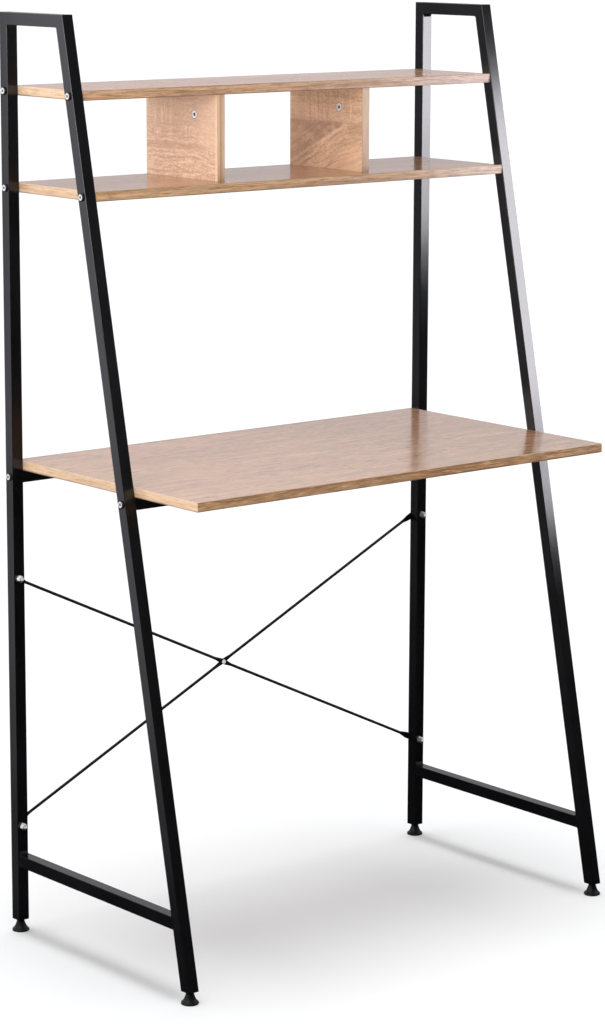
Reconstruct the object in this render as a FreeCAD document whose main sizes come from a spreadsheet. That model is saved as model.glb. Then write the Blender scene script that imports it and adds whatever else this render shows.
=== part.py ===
import FreeCAD, Part
import math
import os
import sys

import Sketcher

# Ladder desk.  Millimetres, +Z up, +X to the right along the desktop, -Y to the front.
# Origin: bottom centre of the whole desk.  Every sub-part is drawn with Y = 0 at the
# back faces of the two back posts and Z = 0 at the floor, and is then moved back by
# post_back_y.

doc = FreeCAD.newDocument("ladder_desk")
sheet = doc.addObject("Spreadsheet::Sheet", "Sizes")
sheet.Label = "Sizes"

SIZES = [
    # frames
    ("overall_width", 890.0),        # over the outer faces of the two frames
    ("post_back_y", 236.79),         # back face of the posts, from the origin
    ("frame_top", 1500.0),           # top of the frames above the floor
    ("tube_bottom", 20.0),           # lower ends of posts and legs above the floor
    ("tube_side", 20.0),
    ("tube_wall", 1.5),
    ("tube_round", 1.0),             # outer corner radius of the tubes
    ("depth_top", 169.0),            # post back face to leg front face at the top
    ("depth_foot", 478.0),           # the same at the lower ends
    ("lower_rung_z", 113.0),         # underside of the lower rungs
    ("weld_leg", 5.0),
    ("weld_width", 15.0),
    # boards
    ("board_thick", 15.0),
    ("band_thick", 1.0),
    ("band_round", 0.45),
    ("band_joint", 0.05),            # hairline between one strip's end and the next
    ("desk_top_z", 787.0),
    ("desk_depth", 478.0),
    ("upper_top_z", 1385.0),
    ("upper_depth", 192.0),
    ("lower_top_z", 1233.0),
    ("lower_depth", 225.0),
    ("divider_depth", 188.0),
    ("divider_offset", 151.5),       # middle of each divider from the centre
    # bolts through the frames
    ("bolt_dia", 6.0),
    ("bolt_hole_dia", 6.5),
    ("bolt_length", 35.0),
    ("bolt_head_dia", 13.0),
    ("bolt_head_high", 2.8),
    ("hex_socket", 4.0),             # across flats
    ("insert_dia", 10.0),
    ("insert_length", 12.5),
    ("insert_recess", 0.5),
    ("insert_bore", 6.1),
    ("plug_length", 12.0),
    ("plug_gap", 0.1),
    # screws
    ("screw_dia", 4.5),
    ("screw_hole", 5.0),
    ("screw_head_dia", 8.5),
    ("screw_head_high", 2.4),
    ("screw_bite", 10.0),
    ("screw_spread", 300.0),
    ("divider_screw_dia", 4.5),
    ("divider_screw_length", 45.0),
    ("divider_screw_back", 45.0),
    ("divider_screw_front", 145.0),
    # cam fittings
    ("cam_dia", 15.0),
    ("cam_depth", 12.0),
    ("cam_pocket", 12.5),
    ("cam_below", 34.0),             # cam centre below the underside of the upper shelf
    ("cam_forward", 128.0),
    ("cam_bolt_dia", 6.4),
    ("cam_bolt_hole", 7.4),
    ("cam_bolt_bite", 11.0),
    ("dowel_dia", 8.0),
    ("dowel_forward", 60.0),
    ("dowel_up", 10.0),
    ("dowel_down", 20.0),
    # brace
    ("brace_high_z", 595.0),
    ("brace_low_z", 180.0),
    ("rod_dia", 5.0),
    ("flat_thick", 2.0),
    ("eye_width", 13.0),
    ("centre_width", 8.6),
    ("centre_bolt_dia", 4.0),
    ("end_bolt_dia", 6.0),
    ("end_bolt_length", 30.5),
    ("end_head_dia", 11.5),
    ("end_head_high", 3.2),
    ("washer_dia", 12.5),
    ("washer_thick", 1.2),
    ("nut_flats", 10.0),
    ("nut_high", 5.0),
    # feet
    ("plate_thick", 4.0),
    ("boss_dia", 12.0),
    ("boss_high", 6.0),
    ("stud_dia", 8.0),
    ("stud_bore", 8.16),
    ("stud_top_z", 38.0),
    ("stud_low_z", 6.2),
    ("foot_dia", 28.0),
    ("foot_neck_dia", 12.2),
    ("foot_gap", 0.3),
    ("foot_socket", 8.12),
]

VALUE = {}
for row, (alias, number) in enumerate(SIZES, start=1):
    sheet.set("A%d" % row, alias.replace("_", " "))
    sheet.set("B%d" % row, "%.6g" % number)
    sheet.setAlias("B%d" % row, alias)
    VALUE[alias] = number
doc.recompute()


class Q:
    """A size together with the expression that gives it from the sheet."""

    def __init__(self, number, text):
        self.v = float(number)
        self.e = text

    @staticmethod
    def of(other):
        return other if isinstance(other, Q) else Q(other, "%.9g" % other)

    def __add__(self, o):
        o = Q.of(o)
        return Q(self.v + o.v, "(%s + %s)" % (self.e, o.e))

    def __radd__(self, o):
        return Q.of(o) + self

    def __sub__(self, o):
        o = Q.of(o)
        return Q(self.v - o.v, "(%s - %s)" % (self.e, o.e))

    def __rsub__(self, o):
        return Q.of(o) - self

    def __mul__(self, o):
        o = Q.of(o)
        return Q(self.v * o.v, "(%s * %s)" % (self.e, o.e))

    def __rmul__(self, o):
        return Q.of(o) * self

    def __truediv__(self, o):
        o = Q.of(o)
        return Q(self.v / o.v, "(%s / %s)" % (self.e, o.e))

    def __neg__(self):
        return Q(-self.v, "(0 - %s)" % self.e)


def root(q):
    return Q(math.sqrt(q.v), "sqrt(%s)" % q.e)


def S(alias):
    return Q(VALUE[alias], "Sizes." + alias)


ZERO = Q(0, "0")
ROLES = ("XY_Plane", "XZ_Plane", "YZ_Plane")


def body(name, compound=False):
    b = doc.addObject("PartDesign::Body", name)
    b.Label = name
    b.AllowCompound = compound
    return b


def plane(b, role):
    for f in b.Origin.OriginFeatures:
        if f.Role == role:
            return f
    raise ValueError(role)


def sketch(b, name, role, offset=None):
    """A sketch on one of the body's planes.  XY: (X, Y); XZ: (X, Z), offset towards -Y;
    YZ: (Y, Z), offset towards +X."""
    s = b.newObject("Sketcher::SketchObject", name)
    s.AttachmentSupport = [(plane(b, role), "")]
    s.MapMode = "FlatFace"
    if offset is not None:
        s.AttachmentOffset = FreeCAD.Placement(FreeCAD.Vector(0, 0, offset.v), FreeCAD.Rotation())
        s.setExpression("AttachmentOffset.Base.z", offset.e)
    return s


def bind(s, kind, args, q):
    i = s.addConstraint(Sketcher.Constraint(kind, *args, q.v))
    n = "c%d" % i
    s.renameConstraint(i, n)
    s.setExpression("Constraints." + n, q.e)


def pin(s, geo, pos, x, y):
    for kind, q in (("DistanceX", x), ("DistanceY", y)):
        if q.e == "0":
            i = {"DistanceX": -2, "DistanceY": -1}[kind]
            s.addConstraint(Sketcher.Constraint("PointOnObject", geo, pos, i))
        else:
            bind(s, kind, (-1, 1, geo, pos), q)


def polygon(s, points):
    """A closed polygon, every corner tied to the sheet."""
    pts = [(Q.of(x), Q.of(y)) for x, y in points]
    n = len(pts)
    first = s.GeometryCount
    for k in range(n):
        a, b = pts[k], pts[(k + 1) % n]
        s.addGeometry(Part.LineSegment(FreeCAD.Vector(a[0].v, a[1].v, 0),
                                       FreeCAD.Vector(b[0].v, b[1].v, 0)), False)
    for k in range(n):
        s.addConstraint(Sketcher.Constraint("Coincident", first + k, 2, first + (k + 1) % n, 1))
    for k in range(n):
        pin(s, first + k, 1, *pts[k])


def circle(s, x, y, dia):
    x, y, dia = Q.of(x), Q.of(y), Q.of(dia)
    g = s.addGeometry(Part.Circle(FreeCAD.Vector(x.v, y.v, 0), FreeCAD.Vector(0, 0, 1), dia.v / 2), False)
    pin(s, g, 3, x, y)
    bind(s, "Diameter", (g,), dia)


def hexagon(s, x, y, flats):
    x, y, flats = Q.of(x), Q.of(y), Q.of(flats)
    r = flats * (1 / math.sqrt(3))
    polygon(s, [(x + r * round(math.cos(math.radians(60 * k + 30)), 9),
                 y + r * round(math.sin(math.radians(60 * k + 30)), 9)) for k in range(6)])


def box4(x0, x1, y0, y1):
    return [(x0, y0), (x1, y0), (x1, y1), (x0, y1)]


def pad(b, s, length, both=False, back=False, name=None):
    f = b.newObject("PartDesign::Pad", name or s.Name + "_pad")
    f.Profile = s
    f.Length = length.v
    f.setExpression("Length", length.e)
    f.Refine = False
    if both:
        f.SideType = "Symmetric"
    if back:
        f.Reversed = True
    return f


def pocket(b, s, length, both=False, back=False, name=None):
    f = b.newObject("PartDesign::Pocket", name or s.Name + "_cut")
    f.Profile = s
    f.Length = length.v
    f.setExpression("Length", length.e)
    f.Refine = False
    if both:
        f.SideType = "Symmetric"
    if back:
        f.Reversed = True
    return f


def revolve(b, s, name=None):
    f = b.newObject("PartDesign::Revolution", name or s.Name + "_turn")
    f.Profile = s
    f.ReferenceAxis = (s, ["V_Axis"])
    f.Angle = 360.0
    return f


def mirror(b, features, role):
    f = b.newObject("PartDesign::Mirrored", b.Name + "_mirror")
    f.Originals = features
    f.MirrorPlane = (plane(b, role), [""])
    b.Tip = f
    return f


def put(b, x, y, z, rotation=None):
    """Placement of a sub-part, tied to the sheet."""
    x, y, z = Q.of(x), Q.of(y), Q.of(z)
    b.Placement = FreeCAD.Placement(FreeCAD.Vector(x.v, y.v, z.v), rotation or FreeCAD.Rotation())
    for axis, q in (("x", x), ("y", y), ("z", z)):
        b.setExpression("Placement.Base." + axis, q.e)


def round_edges(b, feature, choose, radius, name):
    doc.recompute()
    names = ["Edge%d" % (k + 1) for k, e in enumerate(feature.Shape.Edges) if choose(e)]
    if not names:
        raise RuntimeError("no edges for " + name)
    f = b.newObject("PartDesign::Fillet", name)
    f.Base = (feature, names)
    f.Radius = radius.v
    f.setExpression("Radius", radius.e)
    return f


def straight(e):
    return e.Curve.TypeId == "Part::GeomLine"


def along(e, direction, minimum):
    if not straight(e) or e.Length < minimum:
        return False
    d = e.Vertexes[-1].Point - e.Vertexes[0].Point
    return abs(abs(d.normalize() * direction) - 1) < 1e-6


# ---------------------------------------------------------------- derived sizes
side = S("tube_side")
wall = S("tube_wall")
top = S("frame_top")
low = S("tube_bottom")
half_w = S("overall_width") / 2
mid_x = half_w - side / 2                      # tube centre line in X
inner_x = half_w - side                        # inner faces of the frames
back = S("post_back_y")

run = S("depth_foot") - S("depth_top")         # the leg's slant
rise = top - low
slope = run / rise
slant = root(run * run + rise * rise)
level = side * slant / rise                    # the leg's section cut level
sin_t = run / slant
cos_t = rise / slant


def leg_front(z):
    """Distance from the posts' back faces forward to the leg's front face at height z."""
    return S("depth_top") + (top - z) * slope


def leg_back(z):
    return leg_front(z) - level


def leg_mid(z):
    return leg_front(z) - level / 2


board = S("board_thick")
z_upper = S("upper_top_z") - board / 2
z_lower = S("lower_top_z") - board / 2
bar_top = S("desk_top_z") - board
z_bar = bar_top - side / 2
rear_bar_y = -(side / 2)
front_bar_y = -leg_mid(z_bar)

# bolt positions in the side view (Y, Z)
SHELF_BOLTS = [(-(side / 2), z_upper), (-leg_mid(z_upper), z_upper),
               (-(side / 2), z_lower), (-leg_mid(z_lower), z_lower)]
BAR_BOLTS = [(rear_bar_y, z_bar), (front_bar_y, z_bar)]


# ---------------------------------------------------------------- side frames
def tube_profile(name, outer, inner, direction, minimum, x):
    """A square tube lying in the plane of a side frame: an outline in (Y, Z) given the
    tube's width in X, rounded along its length, then hollowed."""
    b = body(name)
    s = sketch(b, name + "_outline", "YZ_Plane")
    polygon(s, outer)
    p = pad(b, s, side, both=True)
    f = round_edges(b, p, lambda e: along(e, direction, minimum) and
                    abs(abs(e.CenterOfMass.x) - VALUE["tube_side"] / 2) < 1e-6,
                    S("tube_round"), name + "_round")
    s = sketch(b, name + "_hollow", "YZ_Plane")
    polygon(s, inner)
    pocket(b, s, side - 2 * wall, both=True)
    put(b, x, back, ZERO)
    return b


def cross_holes(b, name, points, dia):
    s = sketch(b, name, "YZ_Plane")
    for y, z in points:
        circle(s, y, z, dia)
    pocket(b, s, side + 4, both=True)


Z_DIR = FreeCAD.Vector(0, 0, 1)
Y_DIR = FreeCAD.Vector(0, 1, 0)
X_DIR = FreeCAD.Vector(1, 0, 0)
LEG_DIR = FreeCAD.Vector(0, sin_t.v, cos_t.v)

MITRE_FRONT_IN = leg_back(top - side)          # inner corner of the front mitre

for tag, sign in (("left", -1), ("right", 1)):
    x = mid_x * sign

    # back post, mitred at the top
    b = tube_profile(tag + "_back_post",
                     [(ZERO, low), (ZERO, top), (-side, top - side), (-side, low)],
                     [(-wall, low - 5), (-wall, top + 5), (-(side - wall), top + 5), (-(side - wall), low - 5)],
                     Z_DIR, 500, x)
    cross_holes(b, tag + "_post_holes", [SHELF_BOLTS[0], SHELF_BOLTS[2], BAR_BOLTS[0]], S("bolt_hole_dia"))
    s = sketch(b, tag + "_post_brace_holes", "XZ_Plane")
    for z in (S("brace_high_z"), S("brace_low_z")):
        circle(s, ZERO, z, S("bolt_hole_dia"))
    pocket(b, s, 2 * side + 8, both=True)

    # slanted front leg, cut level at the foot and mitred at the top
    b = tube_profile(tag + "_front_leg",
                     [(-leg_front(low), low), (-leg_front(top), top), (-MITRE_FRONT_IN, top - side),
                      (-leg_back(low), low)],
                     [(-(leg_front(low - 5) - wall / cos_t), low - 5),
                      (-(leg_front(top + 5) - wall / cos_t), top + 5),
                      (-(leg_back(top + 5) + wall / cos_t), top + 5),
                      (-(leg_back(low - 5) + wall / cos_t), low - 5)],
                     LEG_DIR, 500, x)
    cross_holes(b, tag + "_leg_holes", [SHELF_BOLTS[1], SHELF_BOLTS[3], BAR_BOLTS[1]], S("bolt_hole_dia"))

    # top rung, mitred at both ends
    tube_profile(tag + "_top_rung",
                 [(ZERO, top), (-leg_front(top), top), (-MITRE_FRONT_IN, top - side), (-side, top - side)],
                 [(Q(10, "10"), top - wall), (-(leg_front(top) + 10), top - wall),
                  (-(leg_front(top) + 10), top - side + wall), (Q(10, "10"), top - side + wall)],
                 Y_DIR, 60, x)

    # lower rung between post and leg
    z0 = S("lower_rung_z")
    z1 = z0 + side
    tube_profile(tag + "_lower_rung",
                 [(-side, z0), (-side, z1), (-leg_back(z1), z1), (-leg_back(z0), z0)],
                 [(ZERO, z0 + wall), (ZERO, z1 - wall), (-(leg_front(z0)), z1 - wall), (-(leg_front(z0)), z0 + wall)],
                 Y_DIR, 200, x)

    # weld fillets in the inner corners
    name = tag + "_frame_welds"
    b = body(name, compound=True)
    s = sketch(b, name + "_outline", "YZ_Plane")
    w = S("weld_leg")

    def weld(cy, cz, u, v):
        k = 0.33
        polygon(s, [(cy, cz), (cy + w * u[0], cz + w * u[1]),
                    (cy + w * (u[0] + v[0]) * k, cz + w * (u[1] + v[1]) * k),
                    (cy + w * v[0], cz + w * v[1])])

    fwd, rear = (Q.of(-1), ZERO), (Q.of(1), ZERO)
    up, down = (ZERO, Q.of(1)), (ZERO, Q.of(-1))
    leg_up, leg_down = (sin_t, cos_t), (-sin_t, -cos_t)
    weld(-side, top - side, fwd, down)
    weld(-MITRE_FRONT_IN, top - side, rear, leg_down)
    weld(-side, z1, fwd, up)
    weld(-side, z0, fwd, down)
    weld(-leg_back(z1), z1, rear, leg_up)
    weld(-leg_back(z0), z0, rear, leg_down)
    pad(b, s, S("weld_width"), both=True)
    put(b, x, back, ZERO)

# ---------------------------------------------------------------- crossbars under the desktop
for name, y in (("rear_crossbar", rear_bar_y), ("front_crossbar", front_bar_y)):
    b = body(name)
    s = sketch(b, name + "_outline", "YZ_Plane")
    polygon(s, box4(-side / 2, side / 2, -side / 2, side / 2))
    p = pad(b, s, 2 * inner_x, both=True)
    round_edges(b, p, lambda e: along(e, X_DIR, 500), S("tube_round"), name + "_round")
    s = sketch(b, name + "_hollow", "YZ_Plane")
    hollow = side / 2 - wall
    polygon(s, box4(-hollow, hollow, -hollow, hollow))
    pocket(b, s, 2 * inner_x + 10, both=True)
    s = sketch(b, name + "_screw_holes", "XY_Plane")
    for k in (-1, 0, 1):
        circle(s, S("screw_spread") * k if k else ZERO, ZERO, S("screw_hole"))
    pocket(b, s, side + 4, both=True)
    put(b, ZERO, back + y, z_bar)

# square nut plugs pressed into the crossbar ends
b = body("crossbar_nut_plugs", compound=True)
s = sketch(b, "plugs_outline", "YZ_Plane", inner_x - S("plug_length"))
h = side / 2 - wall - S("plug_gap")
for y, z in BAR_BOLTS:
    polygon(s, box4(y - h, y + h, z - h, z + h))
p1 = pad(b, s, S("plug_length"))
s = sketch(b, "plugs_bore", "YZ_Plane", inner_x - S("plug_length"))
for y, z in BAR_BOLTS:
    circle(s, y, z, S("insert_bore"))
p2 = pocket(b, s, S("plug_length") + 1, back=True)
mirror(b, [p1, p2], "YZ_Plane")
put(b, ZERO, back, ZERO)

# ---------------------------------------------------------------- bolts through the frames
b = body("frame_bolts", compound=True)
s = sketch(b, "bolt_heads", "YZ_Plane", half_w)
for y, z in SHELF_BOLTS + BAR_BOLTS:
    circle(s, y, z, S("bolt_head_dia"))
p1 = pad(b, s, S("bolt_head_high"))
r1 = round_edges(b, p1, lambda e: e.Curve.TypeId == "Part::GeomCircle" and
                 e.CenterOfMass.x > half_w.v + 1, S("bolt_head_high") * 0.55, "bolt_head_dome")
s = sketch(b, "bolt_shanks", "YZ_Plane", half_w - S("bolt_length"))
for y, z in SHELF_BOLTS + BAR_BOLTS:
    circle(s, y, z, S("bolt_dia"))
p2 = pad(b, s, S("bolt_length"))
s = sketch(b, "bolt_sockets", "YZ_Plane", half_w + S("bolt_head_high"))
for y, z in SHELF_BOLTS + BAR_BOLTS:
    hexagon(s, y, z, S("hex_socket"))
p3 = pocket(b, s, S("bolt_head_high") - 0.6)
doc.recompute()
m = b.newObject("PartDesign::Mirrored", "frame_bolts_mirror")
m.TransformMode = "Whole shape"
m.MirrorPlane = (plane(b, "YZ_Plane"), [""])
b.Tip = m
put(b, ZERO, back, ZERO)


# ---------------------------------------------------------------- boards
band = S("band_thick")


def board_with_bands(name, depth, top_z, end_holes=()):
    """A board between the frames: core and four edge bands.  Returns the core body."""
    x1 = inner_x
    z0 = top_z - board
    core = body(name)
    s = sketch(core, name + "_outline", "XY_Plane", z0)
    polygon(s, box4(-(x1 - band), x1 - band, -(depth - band), -band))
    pad(core, s, board)

    strips = body(name + "_edge_bands", compound=True)
    s = sketch(strips, name + "_bands_outline", "XY_Plane", z0)
    polygon(s, box4(-x1, x1, -depth, -(depth - band)))
    polygon(s, box4(-x1, x1, -band, ZERO))
    joint = S("band_joint")
    polygon(s, box4(-x1, -(x1 - band), -(depth - band - joint), -(band + joint)))
    polygon(s, box4(x1 - band, x1, -(depth - band - joint), -(band + joint)))
    p = pad(strips, s, board)
    front, rear = -depth.v, 0.0
    round_edges(strips, p, lambda e: along(e, X_DIR, 300) and
                (abs(e.CenterOfMass.y - front) < 1e-6 or abs(e.CenterOfMass.y - rear) < 1e-6),
                S("band_round"), name + "_bands_round")
    if end_holes:
        for b, deep in ((core, S("insert_length") + S("insert_recess") + 3), (strips, band)):
            s1 = sketch(b, b.Name + "_ends_right", "YZ_Plane", x1)
            s2 = sketch(b, b.Name + "_ends_left", "YZ_Plane", -x1)
            for y, z in end_holes:
                circle(s1, y, z, S("insert_dia"))
                circle(s2, y, z, S("insert_dia"))
            pocket(b, s1, deep)
            pocket(b, s2, deep, back=True)
    for b in (core, strips):
        put(b, ZERO, back, ZERO)
    return core


core = board_with_bands("desktop", S("desk_depth"), S("desk_top_z"))
s = sketch(core, "desktop_pilots", "XY_Plane", bar_top)
for y in (rear_bar_y, front_bar_y):
    for k in (-1, 0, 1):
        circle(s, S("screw_spread") * k if k else ZERO, y, S("screw_dia"))
pocket(core, s, S("screw_bite"), back=True)

core = board_with_bands("upper_shelf", S("upper_depth"), S("upper_top_z"), SHELF_BOLTS[:2])
under_upper = S("upper_top_z") - board
s = sketch(core, "upper_shelf_cam_pilots", "XY_Plane", under_upper)
for k in (-1, 1):
    circle(s, S("divider_offset") * k, -S("cam_forward"), S("cam_bolt_dia"))
pocket(core, s, S("cam_bolt_bite"), back=True)
s = sketch(core, "upper_shelf_dowel_holes", "XY_Plane", under_upper)
for k in (-1, 1):
    circle(s, S("divider_offset") * k, -S("dowel_forward"), S("dowel_dia"))
pocket(core, s, S("dowel_up"), back=True)

core = board_with_bands("lower_shelf", S("lower_depth"), S("lower_top_z"), SHELF_BOLTS[2:])
under_lower = S("lower_top_z") - board
s = sketch(core, "lower_shelf_screw_holes", "XY_Plane", under_lower)
for k in (-1, 1):
    for y in (S("divider_screw_back"), S("divider_screw_front")):
        circle(s, S("divider_offset") * k, -y, S("divider_screw_dia"))
pocket(core, s, board + 1, back=True)
s = sketch(core, "lower_shelf_head_recesses", "XY_Plane", under_lower)
for k in (-1, 1):
    for y in (S("divider_screw_back"), S("divider_screw_front")):
        circle(s, S("divider_offset") * k, -y, S("screw_head_dia"))
pocket(core, s, S("screw_head_high"), back=True)

# threaded inserts in the shelf ends
b = body("shelf_inserts", compound=True)
start = inner_x - S("insert_recess") - S("insert_length")
s = sketch(b, "inserts_outline", "YZ_Plane", start)
for y, z in SHELF_BOLTS:
    circle(s, y, z, S("insert_dia"))
p1 = pad(b, s, S("insert_length"))
s = sketch(b, "inserts_bore", "YZ_Plane", start)
for y, z in SHELF_BOLTS:
    circle(s, y, z, S("insert_bore"))
p2 = pocket(b, s, S("insert_length") + 1, back=True)
mirror(b, [p1, p2], "YZ_Plane")
put(b, ZERO, back, ZERO)

# ---------------------------------------------------------------- dividers
d_low = S("lower_top_z")
d_high = under_upper
d_tall = d_high - d_low
cam_z = d_high - S("cam_below")

for tag, sign in (("left", -1), ("right", 1)):
    name = tag + "_divider"
    b = body(name)
    s = sketch(b, name + "_outline", "XY_Plane", d_low)
    polygon(s, box4(-board / 2, board / 2, -(S("divider_depth") - band), -band))
    pad(b, s, d_tall)
    # cam pocket in the left face
    s = sketch(b, name + "_cam_pocket", "YZ_Plane", -board / 2)
    circle(s, -S("cam_forward"), cam_z, S("cam_dia"))
    pocket(b, s, S("cam_pocket"), back=True)
    # hole for the cam bolt from the top edge
    s = sketch(b, name + "_cam_bolt_hole", "XY_Plane", d_high)
    circle(s, ZERO, -S("cam_forward"), S("cam_bolt_hole"))
    pocket(b, s, S("cam_below"))
    s = sketch(b, name + "_dowel_hole", "XY_Plane", d_high)
    circle(s, ZERO, -S("dowel_forward"), S("dowel_dia"))
    pocket(b, s, S("dowel_down"))
    s = sketch(b, name + "_screw_holes", "XY_Plane", d_low)
    for y in (S("divider_screw_back"), S("divider_screw_front")):
        circle(s, ZERO, -y, S("divider_screw_dia"))
    pocket(b, s, S("divider_screw_length") - board, back=True)
    put(b, S("divider_offset") * sign, back, ZERO)

b = body("divider_edge_bands", compound=True)
s = sketch(b, "divider_bands_outline", "XY_Plane", d_low)
for k in (-1, 1):
    cx = S("divider_offset") * k
    polygon(s, box4(cx - board / 2, cx + board / 2, -S("divider_depth"), -(S("divider_depth") - band)))
    polygon(s, box4(cx - board / 2, cx + board / 2, -band, ZERO))
p = pad(b, s, d_tall)
f_y = -VALUE["divider_depth"]
round_edges(b, p, lambda e: along(e, Z_DIR, 60) and
            (abs(e.CenterOfMass.y - f_y) < 1e-6 or abs(e.CenterOfMass.y) < 1e-6),
            S("band_round"), "divider_bands_round")
put(b, ZERO, back, ZERO)

# cams: disc with a cross recess, bored for the cam bolt
b = body("divider_cams", compound=True)
for k in (-1, 1):
    cx = S("divider_offset") * k
    t = "left" if k < 0 else "right"
    s = sketch(b, "cam_disc_" + t, "YZ_Plane", cx - board / 2)
    circle(s, -S("cam_forward"), cam_z, S("cam_dia") - 0.1)
    pad(b, s, S("cam_depth"))
for k in (-1, 1):
    cx = S("divider_offset") * k
    t = "left" if k < 0 else "right"
    s = sketch(b, "cam_bore_" + t, "XY_Plane", cam_z - 4)
    circle(s, cx, -S("cam_forward"), S("cam_bolt_hole"))
    pocket(b, s, Q.of(14), back=True)
    s = sketch(b, "cam_cross_" + t, "YZ_Plane", cx - board / 2)
    a, c = Q.of(3.0), Q.of(0.9)
    y0, z0 = -S("cam_forward"), cam_z
    polygon(s, [(y0 - a, z0 - c), (y0 - c, z0 - c), (y0 - c, z0 - a), (y0 + c, z0 - a), (y0 + c, z0 - c),
                (y0 + a, z0 - c), (y0 + a, z0 + c), (y0 + c, z0 + c), (y0 + c, z0 + a), (y0 - c, z0 + a),
                (y0 - c, z0 + c), (y0 - a, z0 + c)])
    pocket(b, s, Q.of(2.6), back=True)
put(b, ZERO, back, ZERO)

# cam bolts: threaded into the upper shelf, headed inside the cam
b = body("divider_cam_bolts", compound=True)
for k in (-1, 1):
    cx = S("divider_offset") * k
    t = "left" if k < 0 else "right"
    s = sketch(b, "cam_bolt_head_" + t, "XY_Plane", cam_z - 3.2)
    circle(s, cx, -S("cam_forward"), S("cam_bolt_dia"))
    pad(b, s, Q.of(3.2))
    s = sketch(b, "cam_bolt_neck_" + t, "XY_Plane", cam_z)
    circle(s, cx, -S("cam_forward"), Q.of(4.2))
    pad(b, s, Q.of(4.0))
    s = sketch(b, "cam_bolt_shaft_" + t, "XY_Plane", cam_z + 4)
    circle(s, cx, -S("cam_forward"), S("cam_bolt_dia"))
    pad(b, s, S("cam_below") - 4 + S("cam_bolt_bite"))
put(b, ZERO, back, ZERO)

# dowels beside the cam bolts
b = body("divider_dowels", compound=True)
s = sketch(b, "dowels_outline", "XY_Plane", d_high - S("dowel_down"))
for k in (-1, 1):
    circle(s, S("divider_offset") * k, -S("dowel_forward"), S("dowel_dia"))
pad(b, s, S("dowel_down") + S("dowel_up"))
put(b, ZERO, back, ZERO)

# screws up through the lower shelf into the dividers
b = body("divider_screws", compound=True)
s = sketch(b, "divider_screw_heads", "XY_Plane", under_lower)
for k in (-1, 1):
    for y in (S("divider_screw_back"), S("divider_screw_front")):
        circle(s, S("divider_offset") * k, -y, S("screw_head_dia"))
pad(b, s, S("screw_head_high"))
s = sketch(b, "divider_screw_shanks", "XY_Plane", under_lower)
for k in (-1, 1):
    for y in (S("divider_screw_back"), S("divider_screw_front")):
        circle(s, S("divider_offset") * k, -y, S("divider_screw_dia"))
pad(b, s, S("divider_screw_length"))
s = sketch(b, "divider_screw_sockets", "XY_Plane", under_lower)
for k in (-1, 1):
    for y in (S("divider_screw_back"), S("divider_screw_front")):
        hexagon(s, S("divider_offset") * k, -y, Q.of(3.0))
pocket(b, s, Q.of(1.6), back=True)
put(b, ZERO, back, ZERO)

# screws up through the crossbars into the desktop
b = body("desktop_screws", compound=True)
bar_low = bar_top - side
s = sketch(b, "desktop_screw_heads", "XY_Plane", bar_low)
for y in (rear_bar_y, front_bar_y):
    for k in (-1, 0, 1):
        circle(s, S("screw_spread") * k if k else ZERO, y, S("screw_head_dia"))
p = pad(b, s, S("screw_head_high"), back=True)
round_edges(b, p, lambda e: e.Curve.TypeId == "Part::GeomCircle" and
            e.CenterOfMass.z < bar_low.v - 1, S("screw_head_high") * 0.45, "desktop_screw_domes")
s = sketch(b, "desktop_screw_shanks", "XY_Plane", bar_low)
for y in (rear_bar_y, front_bar_y):
    for k in (-1, 0, 1):
        circle(s, S("screw_spread") * k if k else ZERO, y, S("screw_dia"))
pad(b, s, side + S("screw_bite"))
s = sketch(b, "desktop_screw_crosses", "XY_Plane", bar_low - S("screw_head_high"))
for y in (rear_bar_y, front_bar_y):
    for k in (-1, 0, 1):
        hexagon(s, S("screw_spread") * k if k else ZERO, y, Q.of(2.5))
pocket(b, s, Q.of(1.2), back=True)
put(b, ZERO, back, ZERO)

# ---------------------------------------------------------------- X brace behind the posts
brace_rise = S("brace_high_z") - S("brace_low_z")
brace_run = 2 * mid_x
half_rod = root(brace_rise * brace_rise + brace_run * brace_run) / 2
brace_mid = (S("brace_high_z") + S("brace_low_z")) / 2
rod_r = S("rod_dia") / 2
angle = math.degrees(math.atan2(brace_rise.v, brace_run.v))
FACETS = 16


def oval(b, name, x, cy, ry, rz):
    """A sixteen-sided section across the rod at x, centred at depth cy."""
    s = sketch(b, name, "YZ_Plane", x)
    pts = []
    for k in range(FACETS):
        t = 2 * math.pi * (k + 0.5) / FACETS
        pts.append((cy + ry * round(math.cos(t), 9), ZERO + rz * round(math.sin(t), 9)))
    polygon(s, pts)
    return s


def loft(b, s1, s2, name):
    f = b.newObject("PartDesign::AdditiveLoft", name)
    f.Profile = s1
    f.Sections = [s2]
    f.Ruled = True
    return f


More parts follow.
